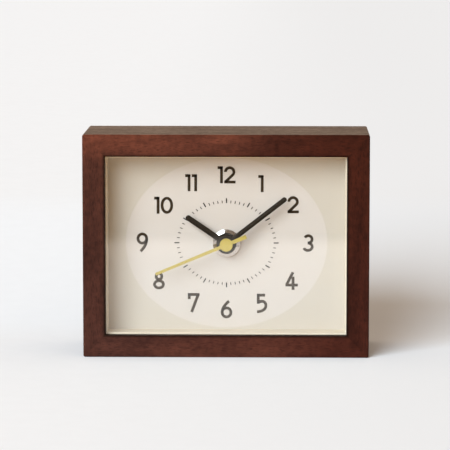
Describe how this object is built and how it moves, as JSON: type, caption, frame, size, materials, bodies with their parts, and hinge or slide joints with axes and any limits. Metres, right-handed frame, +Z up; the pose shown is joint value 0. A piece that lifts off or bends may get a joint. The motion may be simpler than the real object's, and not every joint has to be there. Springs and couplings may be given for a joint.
{
  "type": "desk clock",
  "caption": "Desk clock with a mitred dark wood box case, glazed ivory dial, black hour and minute hands, yellow second hand and a battery quartz movement behind.",
  "frame": {"origin": "middle of the base, on the surface that the clock stands on", "axes": "+X to the clock's right as seen from the front, +Y to the rear, +Z up; the dial faces -Y"},
  "size_m": [0.115, 0.042, 0.09],
  "materials": {
    "case_wood": "dark stained, satin lacquer",
    "block_wood": "plain, sawn",
    "clear_glass": "clear, polished",
    "cream_plastic": "cream, matt",
    "ivory_dial": "ivory, matt, printed",
    "zinc_steel": "zinc plated",
    "brown_board": "hardboard, plain",
    "black_rubber": "matt",
    "polished_nickel": "polished",
    "black_hands": "black, satin",
    "yellow_hand": "yellow, satin",
    "black_housing": "moulded, fine grain",
    "white_wheels": "moulded",
    "brass_parts": "turned",
    "magnet_grey": "sintered",
    "soft_iron": "stamped",
    "bobbin_plastic": "moulded",
    "copper_wire": "enamelled wire",
    "green_board": "lacquered",
    "black_resin": "cast blob",
    "crystal_can": "drawn can",
    "cell_sleeve": "plain printed sleeve",
    "nickel_contact": "nickel plated"
  },
  "bodies": {
    "case": {"case_top": "case_wood", "case_bottom": "case_wood", "case_left": "case_wood", "case_right": "case_wood", "front_glass": "clear_glass", "dial_surround": "cream_plastic", "dial_plate": "ivory_dial", "glue_blocks": "block_wood", "back_panel": "brown_board", "back_panel_screws": "zinc_steel", "mounting_washer": "black_rubber", "centre_nut": "polished_nickel", "movement_base": "black_housing", "movement_cover": "black_housing", "stator_plate": "soft_iron", "coil_core": "soft_iron", "coil_bobbin": "bobbin_plastic", "coil_winding": "copper_wire", "circuit_board": "green_board", "chip": "black_resin", "quartz_crystal": "crystal_can", "contact_plus": "nickel_contact", "contact_minus": "nickel_contact"},
    "minute": {"cannon_pinion": "brass_parts", "minute_hand": "black_hands"},
    "hour": {"hour_wheel": "white_wheels", "hour_hand": "black_hands"},
    "motion_work": {"minute_wheel": "white_wheels"},
    "knob": {"set_knob": "black_housing"},
    "second": {"second_wheel": "brass_parts", "second_hand": "yellow_hand"},
    "intermediate": {"intermediate_wheel": "white_wheels"},
    "rotor": {"rotor_pinion": "brass_parts", "rotor_magnet": "magnet_grey"},
    "third": {"third_wheel": "white_wheels"},
    "centre": {"centre_wheel": "brass_parts"},
    "cell": {"battery": "cell_sleeve"}
  },
  "joints": [
    {"name": "minute_hand_turn", "type": "hinge", "parent": "case", "child": "minute", "pos_m": [0, -0.00245, 0.045], "axis": [0, 1, 0], "continuous": true},
    {"name": "hour_hand_turn", "type": "hinge", "parent": "case", "child": "hour", "pos_m": [0, -0.00245, 0.045], "axis": [0, 1, 0], "continuous": true},
    {"name": "minute_wheel_turn", "type": "hinge", "parent": "case", "child": "motion_work", "pos_m": [-0.00789, -0.0029, 0.04787], "axis": [0, 1, 0], "continuous": true},
    {"name": "set_knob_turn", "type": "hinge", "parent": "case", "child": "knob", "pos_m": [-0.01617, 0.0101, 0.04933], "axis": [0, 1, 0], "continuous": true},
    {"name": "second_hand_turn", "type": "hinge", "parent": "case", "child": "second", "pos_m": [0, -0.00245, 0.045], "axis": [0, 1, 0], "continuous": true},
    {"name": "intermediate_wheel_turn", "type": "hinge", "parent": "case", "child": "intermediate", "pos_m": [0.00804, 0.0013, 0.05175], "axis": [0, 1, 0], "continuous": true},
    {"name": "rotor_turn", "type": "hinge", "parent": "case", "child": "rotor", "pos_m": [0.0139, 0.0041, 0.0576], "axis": [0, 1, 0], "continuous": true},
    {"name": "third_wheel_turn", "type": "hinge", "parent": "case", "child": "third", "pos_m": [-0.00264, 0.0001, 0.05485], "axis": [0, 1, 0], "continuous": true},
    {"name": "centre_wheel_turn", "type": "hinge", "parent": "case", "child": "centre", "pos_m": [0, -0.0017, 0.045], "axis": [0, 1, 0], "continuous": true},
    {"name": "battery_slide", "type": "slide", "parent": "case", "child": "cell", "axis": [0, 1, 0], "range_m": [0, 0.03]}
  ],
  "couplings": [
    {"joint": "minute_wheel_turn", "follows": "minute_hand_turn", "ratio": -0.33333},
    {"joint": "hour_hand_turn", "follows": "minute_hand_turn", "ratio": 0.083333},
    {"joint": "set_knob_turn", "follows": "minute_hand_turn", "ratio": 1},
    {"joint": "intermediate_wheel_turn", "follows": "second_hand_turn", "ratio": -6},
    {"joint": "rotor_turn", "follows": "second_hand_turn", "ratio": 30},
    {"joint": "third_wheel_turn", "follows": "second_hand_turn", "ratio": -0.13333},
    {"joint": "centre_wheel_turn", "follows": "second_hand_turn", "ratio": 0.016667}
  ]
}
